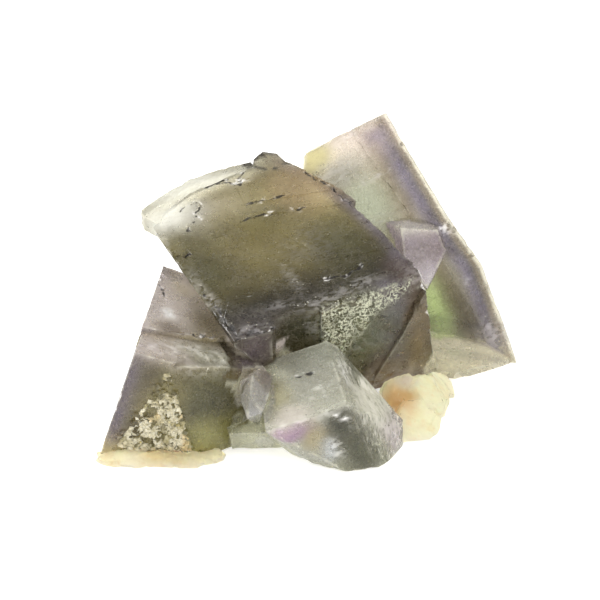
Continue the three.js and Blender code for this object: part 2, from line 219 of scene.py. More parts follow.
# The crystals: where each stands, its outline for telling its skin from the others', and its markings, all
# in the crystal's own millimetres. "finer" names boxes with smaller faces: low corner, high corner, longest
# side. "clear" runs from -1, cloudy, to 1, clear. Tints are soft bands (axis, at, width, colour, share),
# spots (centre, radii, colour, share, and for some the way that the skin has to face) and margins that
# follow the outline (depth, width, colour, share) on the side that the gate names (axis, from, to). Veils
# are whitish cracked places (centre, radii, share), and cracks are lines through their corners.
crystals = {
    "big": {
        "place": (-13.3, -11.6, 25.4), "turned": (10, 0, 26), "flat": (0, 1), "height": (-34, 0.4),
        "outline": [
            (-0.3, 0.6), (8.2, 0.1), (9.4, 0.9), (45.4, 0.4), (46, 6), (46.4, 13), (45.8, 21),
            (44.8, 28.5), (43, 36), (40.5, 42), (37.2, 49), (34.5, 53), (27.4, 54), (22, 55), (11.5, 53),
            (4, 50), (-1, 44),
        ],
        "finer": [((37, 3, -5), (49, 50, 2), 0.7)],
        "clear": 0.0,
        "tint": (0.385, 0.325, 0.113),
        "bands": [
            # Partly the cube's own dark zone, partly painted shade: this near-black band stands for the
            # shadowed floor seen through the thick front
            ((0, 1, 0), 7, 10, (0.013, 0.009, 0.004), 0.96),
            ((0, 1, 0), -0.5, 1.6, (0.08, 0.062, 0.08), 0.4),
        ],
        "margins": [(2.2, 2.2, (0.34, 0.3, 0.42), 0.85), (0, 0.8, (0.52, 0.48, 0.48), 0.5)],
        "gate": ((1, 0, 0), 30, 37),
        "spots": [
            ((17, 43.5, 0), (9, 6, 9), (0.76, 0.67, 0.39), 0.85),
            # Painted light: the thin back-left corner is tinted near white, as if lit through from behind
            ((3.0, 44.5, 0), (9, 6.5, 12), (1.0, 1.0, 0.92), 1.0),
            ((35, 41, 0), (7, 8.5, 9), (0.75, 0.56, 0.3), 0.9),
            ((6.5, 34.5, 0), (6, 4, 8), (0.38, 0.36, 0.2), 0.5),
            ((3, 24, 0), (6, 7, 8), (0.11, 0.113, 0.046), 0.75),
            ((5, 3, 0), (7, 4, 5), (0.12, 0.1, 0.115), 0.85),
            ((34, 18, 0), (7, 9, 6), (0.08, 0.08, 0.024), 0.85),
            ((43, 5, 1), (4, 5, 6), (0.17, 0.11, 0.12), 0.85),
            # Painted shadow: this near-black spot darkens the recess under the chipped front edge
            ((15, 0, -6), (6, 6, 6), (0.028, 0.028, 0.01), 0.95),
            ((36.5, 0, -27), (5, 5, 6.5), (0.28, 0.165, 0.065), 0.9),
            ((30, 0, -10), (10, 5, 10), (0.1, 0.13, 0.06), 0.9),
            ((44.6, 0, -17), (3.2, 5, 13), (0.31, 0.21, 0.068), 0.9),
            ((4, 0, -5), (4, 3, 4), (0.23, 0.18, 0.25), 0.85),
            # Painted light: the thin back edge is tinted near white, as if lit through from behind
            ((12, 54, -2), (19, 4.5, 5), (1, 1, 0.9), 1.0),
        ],
        "veils": [
            ((23.5, 4.2, 0), (6, 1.8, 2.4), 0.5), ((19.4, 13, 0), (0.9, 6, 2), 0.4),
            ((13, 6.8, 0), (3, 1, 2), 0.4), ((0, 21, 0), (1, 4, 2), 0.4),
            ((0.2, 14.5, 0), (1.2, 2.6, 2), 0.6), ((23.2, 48.6, 0), (2.2, 1.1, 2), 1.0),
            ((26, 22, 0), (7, 5, 2), 0.16), ((4.6, 2.6, 0), (3.6, 1.1, 2), 0.55),
            ((36, 0, -27), (5, 3, 4), 0.45), ((44.6, 3, 0), (1.6, 4, 2), 0.4),
            ((43.5, 27, 0), (1.8, 6, 2), 0.3), ((18.5, 1, -4), (1.2, 3, 3), 0.5),
            ((31, 5.5, 0), (5, 1.6, 2), 0.48),
        ],
        "cracks": [
            ((5, 48.6, -0.6), (11.2, 50.6, -0.6), (16.7, 50.8, -0.2), (21, 50.9, 0)),
            (
                (18, 50.3, 0), (21.2, 49.6, 0), (22.7, 47.4, 0.2), (24.1, 50.3, 0.2), (26.2, 51.6, 0),
                (28, 52.6, 0),
            ),
            ((21.2, 40.4, 0.1), (23.2, 40.4, 0.2), (25.3, 40.2, 0.2), (28, 40, 0.2), (30.4, 39.7, 0.2)),
            ((17.5, 35.7, 0), (19.8, 35.9, 0.1), (21.2, 36.1, 0.1), (25.5, 35.2, 0.1)),
            (
                (6.8, 45.2, 0), (8.4, 46, 0), (11.5, 46.4, 0), (11.7, 44.7, 0), (9.4, 42.7, 0),
                (9.5, 40.7, 0), (6.9, 40, 0), (5.8, 38.7, 0),
            ),
            ((-0.6, 30.9, 0), (0.4, 30.7, 0), (3, 30.7, 0)),
            ((30.3, 34.3, 0.1), (32.6, 34, 0.1)),
            ((-0.2, 1.2, 0), (3.6, 1.4, 0), (7.1, 0.7, 0), (9.1, 1, -0.2)),
            ((26, 10.2, 0.1), (31, 9.4, 0.1), (35, 10.8, 0.1)),
            # Painted shadow: the next line stands for the shaded gap to the left cube, cut and coloured as a
            # crack
            ((0.2, 17, 0), (0.8, 12, 0), (0.4, 7, 0), (1.0, 2.5, 0)),
            ((38.4, 45, 0), (40.4, 39.6, 0), (41.6, 34, 0), (43, 28, 0)),
        ],
    },
    "tall": {
        "place": (19.5, 51.5, 47.2), "turned": (-34, -27, -12), "flat": (0, 2), "height": (-0.4, 15),
        "outline": [
            (0, 0), (0.4, -7), (1.7, -27), (3.6, -40.9), (2.4, -50.6), (0, -70), (-36, -70), (-36, -30),
            (-27, -12), (-22.6, -2.6), (-20.6, 0.5), (-12.8, 0.6),
        ],
        "clear": 0.3,
        "tint": (0.5, 0.49, 0.37),
        "bands": [
            ((0, 0, 1), 1, 9, (1.0, 0.88, 0.8), 0.85), ((1, 0, 0), -6, 2.6, (0.38, 0.3, 0.22), 0.7),
            # Painted light: the cream band at the foot on the next line stands for light glowing through the
            # thin foot
            ((0, 0, 1), -65.5, 5, (1.0, 0.96, 0.8), 1.0),
        ],
        "margins": [
            (3.4, 2.3, (0.3, 0.265, 0.42), 0.9), (1.2, 0.7, (0.66, 0.55, 0.4), 0.75),
            # Painted light: this cream margin stands for light glowing through the thin right edge
            (0, 0.6, (1, 0.96, 0.8), 0.95),
        ],
        "gate": ((1, 0, 0), -9, -5),
        "spots": [
            ((-5, 0, -3), (5, 8, 5), (0.8, 0.67, 0.66), 0.5),
            ((-14.5, 7, -17), (5, 30, 6), (0.62, 0.68, 0.54), 0.85),
            ((-10.5, 7, -46), (3.8, 30, 9), (0.78, 0.98, 0.44), 0.9),
            ((-5.6, 7, -47), (2.4, 30, 8), (0.16, 0.125, 0.075), 0.85),
            ((-20, 0, -1.5), (4.4, 7, 3.6), (1.0, 0.92, 0.46), 1.0),
            ((-16, 0, -7.5), (5, 8, 3.2), (0.32, 0.33, 0.3), 0.75),
            ((-2.3, 7, -57), (3, 30, 3), (0.59, 0.54, 0.57), 0.8),
        ],
        "veils": [
            ((0.8, 0, -30), (2.6, 3, 1.4), 0.85), ((-0.6, 0, -55), (2, 3, 2.4), 0.5),
            ((-17, 0, -7), (5, 3, 3), 0.35), ((-9.5, 0, -11.7), (3.4, 3, 0.5), 0.9),
            ((-14, 0, -22), (6, 3, 1.6), 0.45), ((-10, 0, -59), (9, 6, 2), 0.3),
            ((-0.8, 0, -43), (0.8, 3, 0.5), 0.8), ((-9, 0, -1), (5, 3, 0.9), 0.5),
        ],
        "cracks": [((-3, 0, -28.4), (1.5, 0, -29.6))],
    },
    "left": {
        "place": (-34.5, -17.5, 26.9), "turned": (0, 17, 0), "flat": (0, 1), "height": (-31, 1.1),
        "outline": [(-0.5, 0), (8, 0), (22, 0), (28, 4.5), (30, 14), (30, 36), (4, 36)],
        "clear": 0.1,
        "tint": (0.22, 0.2, 0.085),
        "bands": [
            ((1, 0, 0), 4.6, 2.2, (0.1, 0.07, 0.037), 0.75),
            # Painted light: the second band on the next line, pale along the left edge, stands for light
            # glowing through the thin edge
            ((1, 0, 0), 0.2, 2.4, (0.3, 0.25, 0.36), 0.95), ((1, 0, 0), -1, 0.7, (0.9, 0.85, 0.85), 0.7),
            # Painted light: the second band on the next line, cream at the foot, stands for light glowing
            # through the thin foot
            ((0, 0, 1), 1.8, 3.0, (1.0, 0.9, 0.91), 0.92), ((0, 0, 1), -28, 4.5, (1.0, 0.88, 0.5), 0.95),
        ],
        "spots": [
            ((6.5, 16.8, 1), (1.4, 2, 2), (1, 1, 1), 0.9),
            ((6.7, 11.3, 1), (3, 2.2, 3), (0.26, 0.19, 0.165), 0.85),
            ((15, 14, 1), (4.5, 8, 3), (0.26, 0.21, 0.11), 0.7),
            # The pale ledge spot below is partly its own colour, partly painted light from above; the dark
            # green spot under it is painted shade beneath the ledge
            ((18, 6.5, -1), (8, 3, 2.4), (0.72, 0.74, 0.6), 0.75),
            ((18, 3, -8), (7, 6, 6), (0.105, 0.11, 0.05), 0.9),
            ((22, 2, -17.5), (6.5, 6, 5), (0.7, 0.68, 0.24), 0.85),
            ((9, 0, -15), (4.6, 2, 9), (0.5, 0.44, 0.2), 0.7),
            ((1, 33, 1), (5, 5, 3), (0.46, 0.41, 0.46), 0.5),
            ((0.6, 8, -3), (1.6, 3, 1.6), (0.95, 0.8, 0.3), 0.9),
        ],
        "veils": [
            ((5, 4, 0), (5, 2, 1.8), 0.55), ((12, 7, 0), (5, 2, 1.8), 0.45),
            ((19.5, 6.5, -1), (5, 3, 2.4), 0.4), ((6.5, 16.8, 1), (1.2, 1.5, 1), 0.6),
            ((14, 1.5, -1.5), (6, 2, 1.3), 0.4),
        ],
        "cracks": [((12, 11, 1.1), (16, 11.8, 1.1)), ((3, 30, 1), (5, 22, 1))],
    },
    "rear": {
        "place": (-20.5, 19, 25), "turned": (3, -4, 9), "flat": (0, 1), "height": (-32, 0),
        "outline": [(0, 0), (32, 0), (32, 25), (2.5, 25)],
        "clear": 0.1,
        "tint": (0.32, 0.29, 0.18),
        "bands": [
            ((1, 0, 0), 1, 3, (0.36, 0.3, 0.42), 0.8), ((0, 1, 0), 24, 3, (0.34, 0.28, 0.38), 0.8),
            ((0, 0, 1), -27, 5, (0.96, 0.88, 0.6), 0.7),
        ],
        "spots": [((16, 24, -14), (9, 6, 9), (0.2, 0.25, 0.11), 0.7)],
        "veils": [((10, 25, -6), (6, 3, 2), 0.5), ((22, 25, -20), (5, 3, 3), 0.4)],
    },
    "clear": {
        "place": (-7.2, -23.1, 10.8), "turned": (18.4, -11, 14.5), "flat": (0, 1), "height": (-14, 0.6),
        "outline": [(-1, -1), (17.6, -1), (30, -4), (30, 14), (18, 19), (-1, 18)],
        "finer": [((-1, -8, -16), (30, 20, 1), 0.77)],
        "clear": 0.3,
        "tint": (0.85, 0.86, 0.74),
        # Painted light: the pale band at the foot stands for light glowing through the thin foot
        "bands": [((0, 0, 1), -15, 4, (0.7, 0.72, 0.5), 0.6)],
        "spots": [
            ((5.2, 7.6, 0), (2, 4.5, 3), (0.76, 0.7, 0.42), 0.75),
            ((5.5, 1.8, 0), (4.4, 2.8, 3), (0.96, 0.89, 0.82), 0.95),
            ((17, 16, 0), (5, 4, 4), (0.78, 0.82, 0.68), 0.8),
            ((26, 0, -13.5), (3, 5, 5), (0.93, 0.83, 0.9), 0.9),
            # Painted shade: the next three dark spots are kept to the front face and make it darker than the
            # top
            ((16.6, -3.2, -6.4), (4.4, 4, 5.4), (0.26, 0.26, 0.19), 0.95, (0, -1, -0.2)),
            ((15.2, -2, -3.4), (3.2, 3, 3), (0.1, 0.105, 0.065), 0.9, (0, -1, -0.2)),
            ((18.4, -5.4, -10.8), (4.2, 4, 5), (0.15, 0.16, 0.095), 0.9, (0, -1, -0.2)),
            ((9, -2, -4.4), (2.6, 3, 3), (0.86, 0.73, 0.44), 0.85, (0, -1, -0.2)),
            ((11.6, -4, -8.3), (1.9, 3, 2.2), (0.92, 0.96, 1.0), 0.9),
            ((23, 7, -7), (3.4, 8, 6.5), (1.0, 0.98, 0.82), 0.9),
            ((22.2, 12.5, -4.5), (1.6, 3.2, 2.4), (0.22, 0.24, 0.12), 0.85),
            ((4, -1, -2.4), (4.4, 2, 1.6), (0.78, 0.5, 0.8), 0.92, (0, -1, -0.2)),
        ],
        "veils": [
            ((19.8, 10.3, -2.6), (1.2, 2.6, 2.2), 1.0), ((22.5, 6, -7), (3, 7, 5), 0.5),
            ((14.6, -1.1, -1.6), (1.2, 1, 0.5), 1.0), ((16.8, -1.6, -2.6), (1.1, 1, 0.5), 1.0),
            ((17.8, -2.2, -4), (0.6, 1, 0.9), 0.9), ((8, 0, 0), (9, 0.9, 1.5), 0.45),
            ((14.8, 6.4, 0), (1.8, 0.5, 1), 0.7), ((13.4, 4.5, 0), (2.4, 0.5, 1), 0.6),
            ((13.5, -4.2, -8.5), (1.6, 2, 2), 0.6),
        ],
        "cracks": [((9.5, 11.5, 0.3), (11.6, 11.2, 0.3), (13.2, 11.1, 0.2))],
    },
}

# Small crystals between the large ones: centre, radii, tint, and the way and least distance along it that
# tells them from the faces behind
chips = {
    "slab": ((-8, -15, 3.5), (8.5, 5.5, 3.6), (0.76, 0.77, 0.58), (0.67, -0.74, 0), 0.1),
    "shard": ((-9.3, -16, 15), (3.6, 7, 5), (0.70, 0.69, 0.66), (0.67, -0.74, 0), 0.1),
    "lilac": ((26.5, 36, 20), (8.5, 7.5, 9.5), (0.40, 0.33, 0.49), (-0.185, -0.864, 0.469), -25.4),
    "knob": ((-7, 49, 34), (4.6, 3.6, 4), (0.11, 0.10, 0.08), (0, 0, 1), 0),
    # Painted light: the foot chip's cream tint stands for light glowing through the thin foot
    "foot": ((38, 18, 1), (11, 7, 3), (1.0, 0.95, 0.74), (0, 0, 1), -1),
}

# Tints that the small crystals take near a place: centre, radii, colour, share
chipSpots = [
    ((-4, -21.6, 8.4), (5, 3, 1.8), (0.72, 0.46, 0.74), 0.9),
    # Painted light: the pale yellow near the floor on the next line stands for light glowing through the
    # slab's foot
    ((-4, -20, 1.4), (9, 6, 2.4), (1.0, 1.0, 0.66), 0.9),
    ((29.4, 30, 13), (4, 4, 7), (0.78, 0.68, 1.0), 0.95),
    ((25, 34, 28), (9, 6, 2.2), (0.94, 0.9, 0.9), 0.75),
    ((-8.5, -13, 18), (4, 5, 3), (0.6, 0.48, 0.46), 0.7),
    ((-9.5, -21, 13.5), (3, 2, 2), (0.86, 0.86, 0.9), 0.8),
    # Painted light: cream near the foot chip, for light glowing through the thin foot
    ((36, 20, 4), (12, 4, 2), (0.94, 0.9, 0.76), 0.4),
]

# The small clear cube's broken flank is streaked: where it lies, the way that its streaks run, and how much
# the pattern is drawn together along them, across the cube and across both
streaks = {"crystal": "clear", "beyond": (18.5, 20.5), "way": (0, 0.84, 0.54), "scales": (0.6, 2.4, 3)}


def outlineDistance(flat, outline):
    # Distance of flat points to a closed outline, less than zero inside it
    ends = np.array(outline, dtype=float)
    away = np.full(len(flat), 1e9)
    inside = np.zeros(len(flat), dtype=bool)
    for a, b in zip(ends, np.roll(ends, -1, axis=0)):
        side = b - a
        part = np.clip((flat - a) @ side / (side @ side), 0, 1)
        away = np.minimum(away, np.linalg.norm(flat - a - part[:, None] * side, axis=1))
        if a[1] != b[1]:
            crossed = (a[1] > flat[:, 1]) != (b[1] > flat[:, 1])
            level = (b[0] - a[0]) * (flat[:, 1] - a[1]) / (b[1] - a[1]) + a[0]
            inside ^= crossed & (flat[:, 0] < level)
    return np.where(inside, -away, away)


def lineDistance(places, line):
    # Distance of places to the nearest stretch of a line through its corners
    away = np.full(len(places), 1e9)
    for a, b in zip(np.array(line[:-1], dtype=float), np.array(line[1:], dtype=float)):
        side = b - a
        part = np.clip((places - a) @ side / (side @ side), 0, 1)
        away = np.minimum(away, np.linalg.norm(places - a - part[:, None] * side, axis=1))
    return away


def within(crystal, points):
    # Points in a crystal's own millimetres
    return (points - np.array(crystal["place"])) @ ownAxes(*crystal["turned"])


def nearestCrystal(points):
    # The crystal or chip whose outer skin lies nearest to each point
    gaps = []
    for crystal in crystals.values():
        own = within(crystal, points)
        u, v = crystal["flat"]
        w = 3 - u - v
        low, high = crystal["height"]
        side = outlineDistance(own[:, [u, v]], crystal["outline"])
        level = np.maximum(low - own[:, w], own[:, w] - high)
        gaps.append(np.abs(np.maximum(side, level)))
    for centre, radii, _, way, least in chips.values():
        r = np.array(radii)
        gap = np.abs(np.linalg.norm((points - centre) / r, axis=1) - 1) * r.min()
        gaps.append(np.where(points @ np.array(way) > least, gap, 99))
    return np.argmin(np.array(gaps), axis=0)


def spotShare(own, centre, radii, spread=1):
    # 1 at a spot's centre and about a third at its radii: e to the minus cube of the distance in radii
    return np.exp(-(((own - centre) / (np.array(radii) * spread)) ** 2).sum(axis=1) ** 1.5)


def mixIn(colour, share, new):
    # Changes the colours themselves: colour + share (new - colour)
    colour += share[:, None] * (new - colour)


crystalShape = {
    "side": 1.6,           # longest side of a face, mm
    "fineSide": 0.45,      # the same near cracks, mm
    "fineReach": 0.7,      # how far from a crack that holds, mm
    "smooth": 24,          # faces that meet at a smaller angle are shaded as one, degrees
    "broad": 0.07,         # slow swell of the faces, mm
    "ledge": 0.035,        # height of one cleavage ledge, mm
    "grain": 0.045,        # fine roughness, mm
    "rimReach": 1.6,       # how far in from an edge its chips and pale line reach, mm
    "chip": 0.35,          # depth of the chips along the edges, mm
    "ragged": 1.5,         # depth of the bites out of the large cube's right rim, mm
    "raggedFrom": (36, 40),  # where across the large cube that rim begins and is full, mm
    "crack": 0.35,         # depth of the open cracks, mm
    "crackWidth": 0.2,     # half their width, mm
    "crackWander": 0.6,    # how far they stray from their line, mm
    "pit": 0.35,           # depth of the pits in the etched patch, mm
    "pitSize": 1.3,        # their spacing, mm
    "drift": 2.2,          # slow stray of the tints and veils, mm
    "driftShare": 0.4,     # share of it that the large crystals' markings take
    "chipDriftShare": 0.6,  # share that the small crystals' take
    "wobble": 0.8,         # quick stray of the tints, mm
    "spotSpread": 1.15,    # spots reach this many times their radii
    "veilSpread": 1.3,     # veils reach this many times theirs
    "palest": (0.86, 1),   # tints as pale as this turn cloudy
    "chipClear": 0.3,      # how clear the small crystals are
}


def makeCrystals():
    s = crystalShape
    points, faces = solidCopy("fluorite")

    def sideAt(places):
        wanted = np.full(len(places), s["side"])
        for crystal in crystals.values():
            own = within(crystal, places)
            for low, high, side in crystal.get("finer", []):
                inBox = ((own > low) & (own < high)).all(axis=1)
                wanted = np.where(inBox, side, wanted)
            for line in crystal.get("cracks", []):
                nearCrack = lineDistance(own, line) < s["fineReach"]
                wanted = np.where(nearCrack, s["fineSide"], wanted)
        return wanted

    points, faces = refine(points, faces, sideAt)
    normals = outward(points, faces)
    rim, notch = rimAndNotch(points, faces, s["rimReach"])
    whose = nearestCrystal(points)
    own = points.copy()
    tint = np.ones((len(points), 3))
    veil = np.zeros(len(points))
    dark = np.zeros(len(points))
    clear = np.zeros(len(points))
    streaky = np.zeros(len(points))
    lift = s["broad"] * cloud(points, 9, 3, 2) + s["grain"] * cloud(points, 1.1, 5, 2)
    drift = np.stack([cloud(points, 7, seed, 3) for seed in (11, 12, 13)], axis=1) * s["drift"]
    wobble = np.stack([cloud(points, 2.6, seed, 2) for seed in (16, 17, 18)], axis=1) * s["wobble"]
    flow = points.copy()
    big = within(crystals["big"], points)
    # The low steps on the large cube's top get no chips or pale lines, and count as no inner corner
    inner = (whose == 0) & (big[:, 1] > 9) & (big[:, 2] > -0.6)
    inner &= outlineDistance(big[:, :2], crystals["big"]["outline"]) < -1.8
    rim = np.where(inner, 0, rim)
    notch = np.where(inner, 0, notch)
    names = list(crystals) + list(chips)
    for number, name in enumerate(names):
        mine = whose == number
        if name in chips:
            centre, _, base, _, _ = chips[name]
            own[mine] = points[mine] - centre
            flow[mine] = own[mine]
            colour = np.tile(base, (mine.sum(), 1))
            for centre, radii, new, share in chipSpots:
                strayed = (points + s["chipDriftShare"] * drift)[mine]
                mixIn(colour, share * spotShare(strayed, centre, radii), new)
            tint[mine] = colour
            clear[mine] = s["chipClear"]
            continue
        crystal = crystals[name]
        here = within(crystal, points[mine])
        own[mine] = here
        flow[mine] = here
        if name == streaks["crystal"]:
            along = np.array(streaks["way"]) / np.linalg.norm(streaks["way"])
            across = np.cross(along, (1, 0, 0))
            parts = (here @ along, here[:, 0], here @ across)
            turned = np.stack([scale * part for scale, part in zip(streaks["scales"], parts)], axis=1)
            broken = ease(*streaks["beyond"], here[:, 0])
            flow[mine] = np.where(broken[:, None] > 0.5, turned, here)
            streaky[mine] = broken
        strayed = here + s["driftShare"] * drift[mine]
        wander = strayed + wobble[mine]
        clear[mine] = crystal["clear"]
        colour = np.tile(crystal["tint"], (len(here), 1))
        for axis, at, width, new, share in crystal["bands"]:
            level = (wander * 0.5 + here * 0.5) @ np.array(axis, dtype=float)
            mixIn(colour, share * np.exp(-((level - at) / width) ** 2), new)
        if "margins" in crystal:
            depth = -outlineDistance((0.7 * here + 0.3 * wander)[:, crystal["flat"]], crystal["outline"])
            axis, low, high = crystal["gate"]
            gate = ease(low, high, here @ np.array(axis, dtype=float))
            for at, width, new, share in crystal["margins"]:
                mixIn(colour, share * gate * np.exp(-((depth - at) / width) ** 2), new)
        for centre, radii, new, share, *way in crystal["spots"]:
            mask = share * spotShare(wander, centre, radii, s["spotSpread"])
            if way:
                facing = normals[mine] @ ownAxes(*crystal["turned"]) @ way[0]
                mask = mask * ease(0.3, 0.55, facing)
            mixIn(colour, mask, new)
        tint[mine] = colour
        clear[mine] -= 0.9 * ease(*s["palest"], colour[:, 0])
        cover = np.zeros(len(here))
        for centre, radii, share in crystal["veils"]:
            cover = np.maximum(cover, share * spotShare(strayed, centre, radii, s["veilSpread"]))
        veil[mine] = cover
        # Cleavage ledges: low terraces along the crystal's right axis
        steps = cloud(here / np.array([1.8, 1, 1.2]), 4.5, 40 + number, 3) * 3
        terrace = np.floor(steps) + ease(0.8, 1, steps - np.floor(steps))
        lift[mine] += s["ledge"] * terrace
        # Cracks: dark open lines that stray and change width, with white flecks beside them
        stray = np.stack([cloud(here, 1.3, seed, 2) for seed in (21, 22, 23)], axis=1)
        jagged = here + s["crackWander"] * stray
        width = np.maximum(s["crackWidth"] * (1 + 1.2 * cloud(here, 1.9, 24, 2)), 0.04)
        flecks = ease(0.1, 0.3, cloud(here, 0.9, 25, 2))
        for line in crystal.get("cracks", []):
            away = lineDistance(jagged, line)
            lift[mine] -= s["crack"] * np.exp(-(away / (1.6 * width)) ** 2)
            dark[mine] = np.maximum(dark[mine], 1 - away / (4 * width))
            veil[mine] = np.maximum(veil[mine], flecks * np.exp(-((away - 0.45) / 0.25) ** 2))

    # The etched patch on the large cube's front: right of its recess, below its top, short of its right edge
    etched = (whose == 0) * ease(-1.5, 1, big[:, 0] - 20.5) * ease(4, 2, big[:, 1]) * ease(1, -1, big[:, 2])
    etched *= ease(0, 2.5, 45.5 + 0.9 * big[:, 2] - big[:, 0] - 3.4 * (big[:, 2] < -6))
    lift -= etched * s["pit"] * (1 - np.minimum(cells(points, s["pitSize"], 4) * 1.5, 1))
    bite = np.maximum(cloud(points, 2.4, 8, 2) - 0.05, 0)
    ragged = (whose == 0) * ease(*s["raggedFrom"], big[:, 0]) * np.maximum(cloud(points, 1.5, 15, 2), 0)
    lift -= rim * (2 * s["chip"] * bite + s["ragged"] * ragged)
    points = points + normals * lift[:, None]
    points[:, 2] = np.maximum(points[:, 2], 0)
    piece = meshFrom("crystals", points, faces, s["smooth"])
    addColour(piece, "tint", np.clip(tint, 0, 1))
    addColour(piece, "marks", np.stack([np.clip(veil, 0, 1), etched, np.clip(dark, 0, 1)], axis=1))
    addColour(piece, "edges", np.stack([rim, notch, clear], axis=1))
    addVector(piece, "streaky", np.repeat(streaky[:, None], 3, axis=1))
    addVector(piece, "own", own)
    addVector(piece, "flow", flow)
    print("Crystals shaped,", len(faces), "faces")
    return piece


# Golden druse: small blocky crystals strewn over the left cube's front and along its foot
druseShape = {
    "count": 3600,              # grains drawn, of which bare places lose some
    "smallest": 0.12,           # half a grain's side, mm
    "largest": 0.36,
    "height": (-3, 21),         # tip of the triangle that they cover, and how far it reaches down, mm
    "leftSide": (7.8, -5.2),    # its left side at the tip, and how far that leans by the foot, mm
    "rightSide": (8.2, 11.6),   # its right side in the same way
    "light": (1.0, 0.95, 0.76),
    "gilding": (-0.04, -0.18, -0.34),  # added to the light grains in the golden places
    "dark": (0.44, 0.38, 0.15),
    "seed": 6,
}


def makeDruse():
    # Each grain is a cube of eight corners, turned at random, with its place drawn inside a triangle
    s = druseShape
    rng = np.random.default_rng(s["seed"])
    left = crystals["left"]
    axes = ownAxes(*left["turned"])
    count = s["count"]
    down = np.sqrt(rng.random(count))
    across = rng.random(count)
    (tip, drop), (leftTip, leftLean), (rightTip, rightLean) = s["height"], s["leftSide"], s["rightSide"]
    z = tip - drop * down
    x = (leftTip + leftLean * down) * (1 - across) + (rightTip + rightLean * down) * across
    y = 0.2 - 0.5 * down * rng.random(count)
    keep = cloud(np.stack([x, y, z], axis=1), 3.4, 9, 2) > -0.5 + 0.5 * (1 - down)
    x, y, z = x[keep], y[keep], z[keep]
    count = len(x)
    centres = np.array(left["place"]) + np.stack([x, y, z], axis=1) @ axes.T
    half = s["smallest"] + (s["largest"] - s["smallest"]) * rng.random(count) ** 2
    angles = rng.random((count, 3)) * np.pi
    cube = np.array(list(np.ndindex(2, 2, 2)), dtype=float) * 2 - 1
    sides = np.array([[0, 1, 3], [0, 3, 2], [4, 6, 7], [4, 7, 5], [0, 4, 5], [0, 5, 1],
                      [2, 3, 7], [2, 7, 6], [0, 2, 6], [0, 6, 4], [1, 5, 7], [1, 7, 3]])
    (ca, cb, cc), (sa, sb, sc) = np.cos(angles).T, np.sin(angles).T
    turn = np.stack([
        np.stack([cb * cc, -cb * sc, sb], axis=1),
        np.stack([ca * sc + sa * sb * cc, ca * cc - sa * sb * sc, -sa * cb], axis=1),
        np.stack([sa * sc - ca * sb * cc, sa * cc + ca * sb * sc, ca * cb], axis=1),
    ], axis=1)
    stretch = 0.7 + 0.6 * rng.random((count, 1, 3))
    corners = (cube[None] * stretch) @ np.transpose(turn, (0, 2, 1)) * half[:, None, None]
    corners = corners + centres[:, None]
    faces = (sides[None] + 8 * np.arange(count)[:, None, None]).reshape(-1, 3)
    points = corners.reshape(-1, 3)
    points[:, 2] = np.maximum(points[:, 2], 0.05)
    piece = meshFrom("druse", points, faces, 20)
    # Partly the grains' own colour, partly painted shade and highlight: each grain is mixed between the
    # light and the dark colour in patches and at random
    patch = cloud(centres, 1.7, 14, 3)
    shade = np.clip(0.18 + 1.5 * patch + 0.8 * (rng.random(count) - 0.5), 0, 1)[:, None]
    gold = ease(0.1, 0.5, cloud(centres, 3.5, 19, 2))[:, None]
    light = np.array(s["light"]) + gold * np.array(s["gilding"])
    colour = (1 - shade) * light + shade * np.array(s["dark"])
    addColour(piece, "tint", np.repeat(colour, 8, axis=0))
    print("Druse laid,", count, "grains")
    return piece


rockShape = {
    "side": 0.42,    # longest side of a face, mm
    "lump": 0.35,    # lumps, mm
    "facet": 0.25,   # broken facets, mm
    "grain": 0.10,   # crumbs on them, mm
    "foot": (1.6, 0.2),  # painted light from the floor: the rock pales from the first height down to the second, mm
    "footGlowColour": (1, 0.97, 0.84),
}

# Each rock is amber near a place and pales to cream, with one stain: where, how far and in what colours
rocks = {
    "matrix_right": {
        "name": "amber_rock", "finer": 1.0, "amber": (20.5, -1, 3), "reach": (1.5, 8),
        "deep": (0.65, 0.365, 0.125), "pale": (1.0, 1.0, 0.76),
        "stain": ((23.5, 3.5, 6), (3, 3, 1.4), (0.60, 0.52, 0.54), 0.7),
    },
    "matrix_left": {
        "name": "cream_crust", "finer": 0.8, "amber": (-31, -20, 1), "reach": (0, 7),
        "deep": (0.86, 0.70, 0.40), "pale": (0.88, 0.82, 0.58),
        "stain": ((-36, -20, 1), (3, 3, 1.4), (0.96, 0.90, 0.72), 0.8),
    },
}


def makeRock(node):
    s, rock = rockShape, rocks[node]
    side = s["side"] * rock["finer"]
    points, faces = solidCopy(node)
    points, faces = refine(points, faces, lambda places: np.full(len(places), side))
    normals = outward(points, faces)
    broken = np.floor(cloud(points, 2.2, 66, 2) * 4) / 4
    lift = s["lump"] * cloud(points, 3.2, 61, 2) + s["facet"] * broken
    lift -= s["grain"] * (1 - np.minimum(cells(points, 0.9, 7) * 1.4, 1)) * 2
    foot = ease(0.05, 0.6, points[:, 2])
    points = points + normals * (np.minimum(lift, 0.1) * foot)[:, None]
    piece = meshFrom(rock["name"], points, faces, 40)
    near = ease(rock["reach"][1], rock["reach"][0], np.linalg.norm(points - rock["amber"], axis=1))
    share = np.clip(near + 0.5 * cloud(points, 3.4, 67, 3), 0, 1)[:, None]
    colour = share * np.array(rock["deep"]) + (1 - share) * np.array(rock["pale"])
    centre, radii, new, amount = rock["stain"]
    mixIn(colour, amount * spotShare(points, centre, radii), new)
    # Painted light at the foot, where the floor lights the rock
    mixIn(colour, 0.6 * ease(*s["foot"], points[:, 2]), s["footGlowColour"])
    addColour(piece, "tint", colour)
    print("Rock shaped:", rock["name"], len(faces), "faces")
    return piece


# Materials
current = {}  # the node tree of the material that is being made, in which the functions below work


def newMaterial(name):
    material = bpy.data.materials.new(name)
    material.use_nodes = True
    current["tree"] = material.node_tree
    return material, material.node_tree.nodes["Principled BSDF"]


